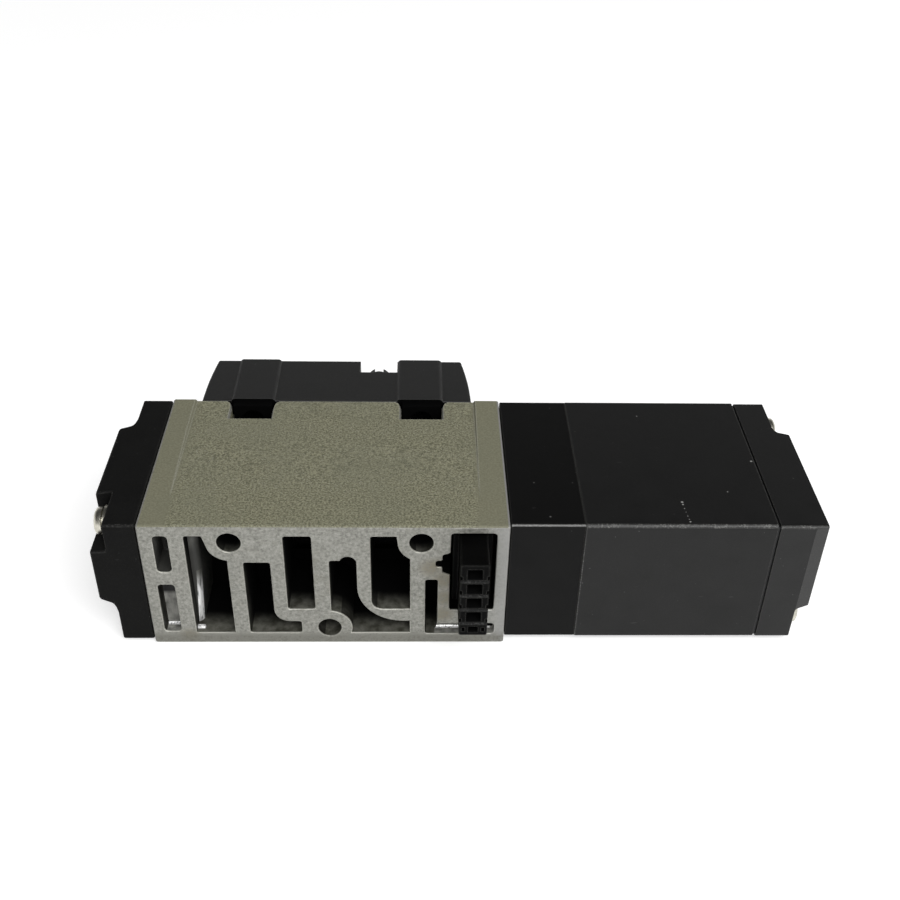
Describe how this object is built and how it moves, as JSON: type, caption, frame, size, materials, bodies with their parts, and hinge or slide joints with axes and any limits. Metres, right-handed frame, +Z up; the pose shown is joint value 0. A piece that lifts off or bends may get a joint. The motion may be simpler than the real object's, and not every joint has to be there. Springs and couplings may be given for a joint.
{
  "type": "solenoid directional valve",
  "caption": "Base-mounted pilot-operated solenoid spool valve with a cast ported body, plug-in connector, moulded end plate, pilot unit and cover with a manual override.",
  "frame": {"origin": "centre of the bounding box at its lowest face: the valve lies on its side, as in the picture", "axes": "+X along the valve from the end plate to the pilot end cap, -Y out of the ported mounting face, +Z up through the body's width"},
  "size_m": [0.1158, 0.0552, 0.0252],
  "materials": {
    "painted_casting": "die-cast aluminium, olive-grey sprayed paint on its sides, bare machined mounting face",
    "black_plastic": "moulded black glass-filled nylon",
    "steel": "bright ground or plated steel",
    "spring_steel": "drawn spring wire",
    "soft_iron": "turned magnetic steel",
    "aluminium": "turned aluminium",
    "brass": "bright brass",
    "rubber": "nitrile rubber",
    "copper": "enamelled copper winding",
    "nylon": "natural nylon",
    "board": "coated circuit board",
    "led": "tinted epoxy",
    "lens": "clear tinted plastic",
    "insulation": "lead wire insulation"
  },
  "bodies": {
    "housing": {"valve_body": "painted_casting", "spool_sleeve": "steel", "sleeve_oring_1": "rubber", "sleeve_oring_2": "rubber", "sleeve_oring_3": "rubber", "sleeve_oring_4": "rubber", "sleeve_oring_5": "rubber", "sleeve_oring_6": "rubber", "return_spring": "spring_steel", "end_plate": "black_plastic", "end_plate_seal": "rubber", "end_plate_screw_1": "steel", "end_plate_screw_2": "steel", "adapter_plate": "black_plastic", "adapter_seal": "rubber", "pilot_housing": "black_plastic", "pilot_seal": "rubber", "pilot_end_cap": "black_plastic", "cap_gasket": "rubber", "pilot_screw_1": "steel", "pilot_screw_2": "steel", "pilot_seat": "brass", "armature_spring": "spring_steel", "fixed_core": "soft_iron", "solenoid_bobbin": "nylon", "solenoid_coil": "copper", "solenoid_yoke": "soft_iron", "coil_lead_1": "insulation", "coil_lead_2": "insulation", "connector_housing": "black_plastic", "connector_contact_1": "brass", "connector_contact_2": "brass", "connector_contact_3": "brass", "connector_contact_4": "brass", "connector_contact_5": "brass", "board_lead_1": "insulation", "board_lead_2": "insulation", "top_cover": "black_plastic", "override_spring": "spring_steel", "circuit_board": "board", "indicator_led": "led", "indicator_lens": "lens"},
    "spool": {"main_spool": "steel", "pilot_piston": "aluminium", "piston_seal": "rubber"},
    "plunger": {"armature": "soft_iron", "pilot_poppet": "rubber"},
    "override_slide": {"override_oring": "rubber"},
    "override": {"override_button": "black_plastic"}
  },
  "joints": [
    {"name": "spool_shift", "type": "slide", "parent": "housing", "child": "spool", "axis": [-1, 0, 0], "range_m": [0, 0.0035], "stiffness_N_per_m": 1200, "springref_m": -0.006, "deforming": ["return_spring"]},
    {"name": "armature_pull", "type": "slide", "parent": "housing", "child": "plunger", "axis": [1, 0, 0], "range_m": [0, 0.0006], "stiffness_N_per_m": 900, "springref_m": -0.002, "deforming": ["armature_spring"]},
    {"name": "override_push", "type": "slide", "parent": "housing", "child": "override_slide", "axis": [0, -1, 0], "range_m": [0, 0.0015], "stiffness_N_per_m": 800, "springref_m": -0.0015, "deforming": ["override_spring"]},
    {"name": "override_turn", "type": "hinge", "parent": "override_slide", "child": "override", "pos_m": [-0.014, 0, 0.0212], "axis": [0, -1, 0], "range_deg": [0, 90]}
  ]
}
